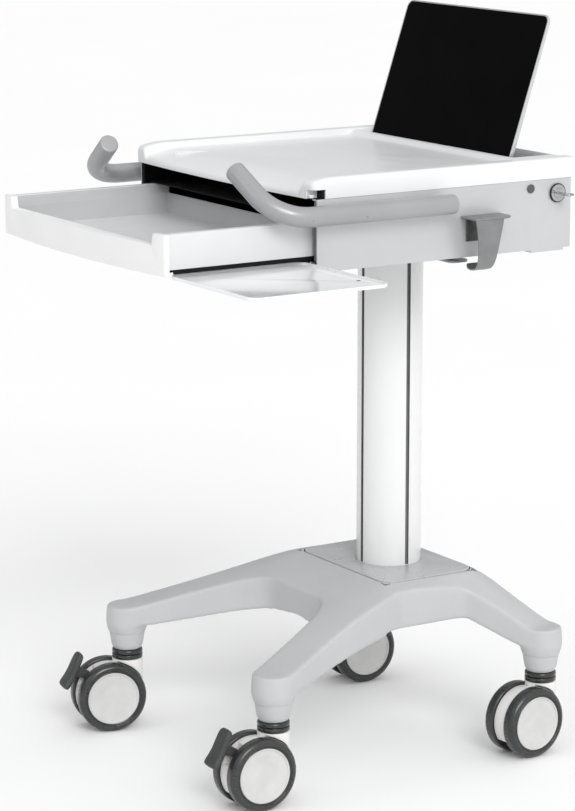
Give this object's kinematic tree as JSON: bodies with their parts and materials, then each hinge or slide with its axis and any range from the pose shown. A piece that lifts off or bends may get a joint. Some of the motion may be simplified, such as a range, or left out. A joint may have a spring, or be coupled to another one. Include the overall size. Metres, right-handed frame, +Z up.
{
  "type": "height-adjustable laptop cart with drawer",
  "caption": "Ward cart on twin-wheel casters: lifting column, lockable box with work surface, slide-out drawer, swing-out tray, push handles and a tilting screen.",
  "frame": {"origin": "on the floor, on the axis of the column", "axes": "+X is the cart's right side (tray, hook and lock side), -Y is the front with the drawer, +Z is up"},
  "size_m": [0.6673, 0.654, 1.0246],
  "materials": {
    "cast_aluminium_paint": "satin paint",
    "plate_paint": "satin paint",
    "column_white": "glossy white coating",
    "steel_bare": "zinc plated",
    "gas_cylinder_black": "gloss paint",
    "panel_silver": "satin powder coat",
    "shelf_black": "matt paint",
    "cover_white": "semi-gloss moulding",
    "drawer_white": "semi-gloss moulding",
    "tray_white": "gloss moulding",
    "handle_grey": "satin paint",
    "hook_pewter": "satin",
    "chrome": "polished",
    "plug_grey": "matt",
    "laptop_black": "satin",
    "screen_glass": "gloss",
    "caster_white": "semi-gloss",
    "caster_collar": "dark zinc",
    "socket_grey": "satin paint",
    "pedal_grey": "semi-gloss",
    "tyre": "smooth polyurethane"
  },
  "bodies": {
    "base": {"base_casting": "cast_aluminium_paint", "column_plate": "plate_paint", "column_tube": "column_white", "gas_cylinder": "gas_cylinder_black", "caster_sockets": "socket_grey"},
    "lift": {"mast_tube": "column_white", "gas_rod": "steel_bare", "head_bracket": "steel_bare", "box_pan": "panel_silver", "laptop_shelf": "shelf_black", "top_cover": "cover_white", "handle_left": "handle_grey", "handle_right": "handle_grey", "side_hook": "hook_pewter", "lock_body": "chrome", "panel_plug": "plug_grey", "tray_pivot": "steel_bare", "slide_outers": "shelf_black", "box_screws": "steel_bare", "laptop_base": "laptop_black"},
    "drawer": {"drawer_tub": "drawer_white", "drawer_front": "drawer_white", "slide_inners": "shelf_black"},
    "slide_middle": {"slide_middles": "shelf_black"},
    "tray": {"mouse_tray": "tray_white"},
    "lever": {"lift_lever": "hook_pewter"},
    "key": {"lock_key": "chrome", "lock_plug": "chrome"},
    "screen": {"laptop_lid": "laptop_black", "laptop_screen": "screen_glass"},
    "caster_front_right": {"caster_front_right_housing": "caster_white", "caster_front_right_stem": "caster_collar", "caster_front_right_axle": "steel_bare"},
    "caster_front_right_outer_wheel": {"caster_front_right_outer_tyre": "tyre", "caster_front_right_outer_hub": "caster_white"},
    "caster_front_right_inner_wheel": {"caster_front_right_inner_tyre": "tyre", "caster_front_right_inner_hub": "caster_white"},
    "caster_front_right_brake": {"caster_front_right_pedal": "pedal_grey"},
    "caster_front_left": {"caster_front_left_housing": "caster_white", "caster_front_left_stem": "caster_collar", "caster_front_left_axle": "steel_bare"},
    "caster_front_left_outer_wheel": {"caster_front_left_outer_tyre": "tyre", "caster_front_left_outer_hub": "caster_white"},
    "caster_front_left_inner_wheel": {"caster_front_left_inner_tyre": "tyre", "caster_front_left_inner_hub": "caster_white"},
    "caster_front_left_brake": {"caster_front_left_pedal": "pedal_grey"},
    "caster_rear_right": {"caster_rear_right_housing": "caster_white", "caster_rear_right_stem": "caster_collar", "caster_rear_right_axle": "steel_bare"},
    "caster_rear_right_outer_wheel": {"caster_rear_right_outer_tyre": "tyre", "caster_rear_right_outer_hub": "caster_white"},
    "caster_rear_right_inner_wheel": {"caster_rear_right_inner_tyre": "tyre", "caster_rear_right_inner_hub": "caster_white"},
    "caster_rear_left": {"caster_rear_left_housing": "caster_white", "caster_rear_left_stem": "caster_collar", "caster_rear_left_axle": "steel_bare"},
    "caster_rear_left_outer_wheel": {"caster_rear_left_outer_tyre": "tyre", "caster_rear_left_outer_hub": "caster_white"},
    "caster_rear_left_inner_wheel": {"caster_rear_left_inner_tyre": "tyre", "caster_rear_left_inner_hub": "caster_white"}
  },
  "joints": [
    {"name": "height", "type": "slide", "parent": "base", "child": "lift", "axis": [0, 0, 1], "range_m": [0, 0.3]},
    {"name": "drawer_slide", "type": "slide", "parent": "lift", "child": "drawer", "axis": [0, 1, 0], "range_m": [0, 0.22]},
    {"name": "slide_middle_travel", "type": "slide", "parent": "lift", "child": "slide_middle", "axis": [0, 1, 0], "range_m": [0, 0.11]},
    {"name": "tray_swing", "type": "hinge", "parent": "lift", "child": "tray", "pos_m": [0.21, -0.262, 0.722], "axis": [0, 0, -1], "range_deg": [0, 180]},
    {"name": "lever_lift", "type": "hinge", "parent": "lift", "child": "lever", "pos_m": [0.118, -0.033, 0.709], "axis": [0, -1, 0], "range_deg": [0, 3.2], "stiffness_Nm_per_rad": 1, "springref_deg": -6.88},
    {"name": "key_turn", "type": "hinge", "parent": "lift", "child": "key", "pos_m": [0.2285, 0.115, 0.792], "axis": [-1, 0, 0], "range_deg": [0, 90]},
    {"name": "screen_tilt", "type": "hinge", "parent": "lift", "child": "screen", "pos_m": [0, 0.071, 0.8], "axis": [-1, 0, 0], "range_deg": [-1.5, 24]},
    {"name": "caster_front_right_swivel", "type": "hinge", "parent": "base", "child": "caster_front_right", "pos_m": [0.198, -0.318, 0.1], "axis": [0, 0, 1], "continuous": true},
    {"name": "caster_front_right_outer_wheel_spin", "type": "hinge", "parent": "caster_front_right", "child": "caster_front_right_outer_wheel", "pos_m": [0.19699, -0.34698, 0.05], "axis": [0.9994, -0.0349, 0], "continuous": true},
    {"name": "caster_front_right_inner_wheel_spin", "type": "hinge", "parent": "caster_front_right", "child": "caster_front_right_inner_wheel", "pos_m": [0.19699, -0.34698, 0.05], "axis": [0.9994, -0.0349, 0], "continuous": true},
    {"name": "caster_front_right_brake_press", "type": "hinge", "parent": "caster_front_right", "child": "caster_front_right_brake", "pos_m": [0.19598, -0.37596, 0.08], "axis": [0.9994, -0.0349, 0], "range_deg": [0, 14]},
    {"name": "caster_front_left_swivel", "type": "hinge", "parent": "base", "child": "caster_front_left", "pos_m": [-0.198, -0.318, 0.1], "axis": [0, 0, 1], "continuous": true},
    {"name": "caster_front_left_outer_wheel_spin", "type": "hinge", "parent": "caster_front_left", "child": "caster_front_left_outer_wheel", "pos_m": [-0.20452, -0.34626, 0.05], "axis": [0.9744, -0.225, 0], "continuous": true},
    {"name": "caster_front_left_inner_wheel_spin", "type": "hinge", "parent": "caster_front_left", "child": "caster_front_left_inner_wheel", "pos_m": [-0.20452, -0.34626, 0.05], "axis": [0.9744, -0.225, 0], "continuous": true},
    {"name": "caster_front_left_brake_press", "type": "hinge", "parent": "caster_front_left", "child": "caster_front_left_brake", "pos_m": [-0.21105, -0.37451, 0.08], "axis": [0.9744, -0.225, 0], "range_deg": [0, 14]},
    {"name": "caster_rear_right_swivel", "type": "hinge", "parent": "base", "child": "caster_rear_right", "pos_m": [0.208, 0.117, 0.1], "axis": [0, 0, 1], "continuous": true},
    {"name": "caster_rear_right_outer_wheel_spin", "type": "hinge", "parent": "caster_rear_right", "child": "caster_rear_right_outer_wheel", "pos_m": [0.21053, 0.08811, 0.05], "axis": [0.9962, 0.0872, 0], "continuous": true},
    {"name": "caster_rear_right_inner_wheel_spin", "type": "hinge", "parent": "caster_rear_right", "child": "caster_rear_right_inner_wheel", "pos_m": [0.21053, 0.08811, 0.05], "axis": [0.9962, 0.0872, 0], "continuous": true},
    {"name": "caster_rear_left_swivel", "type": "hinge", "parent": "base", "child": "caster_rear_left", "pos_m": [-0.208, 0.117, 0.1], "axis": [0, 0, 1], "continuous": true},
    {"name": "caster_rear_left_outer_wheel_spin", "type": "hinge", "parent": "caster_rear_left", "child": "caster_rear_left_outer_wheel", "pos_m": [-0.20952, 0.08804, 0.05], "axis": [0.9986, -0.0523, 0], "continuous": true},
    {"name": "caster_rear_left_inner_wheel_spin", "type": "hinge", "parent": "caster_rear_left", "child": "caster_rear_left_inner_wheel", "pos_m": [-0.20952, 0.08804, 0.05], "axis": [0.9986, -0.0523, 0], "continuous": true}
  ],
  "couplings": [
    {"joint": "slide_middle_travel", "follows": "drawer_slide", "ratio": 0.5}
  ]
}
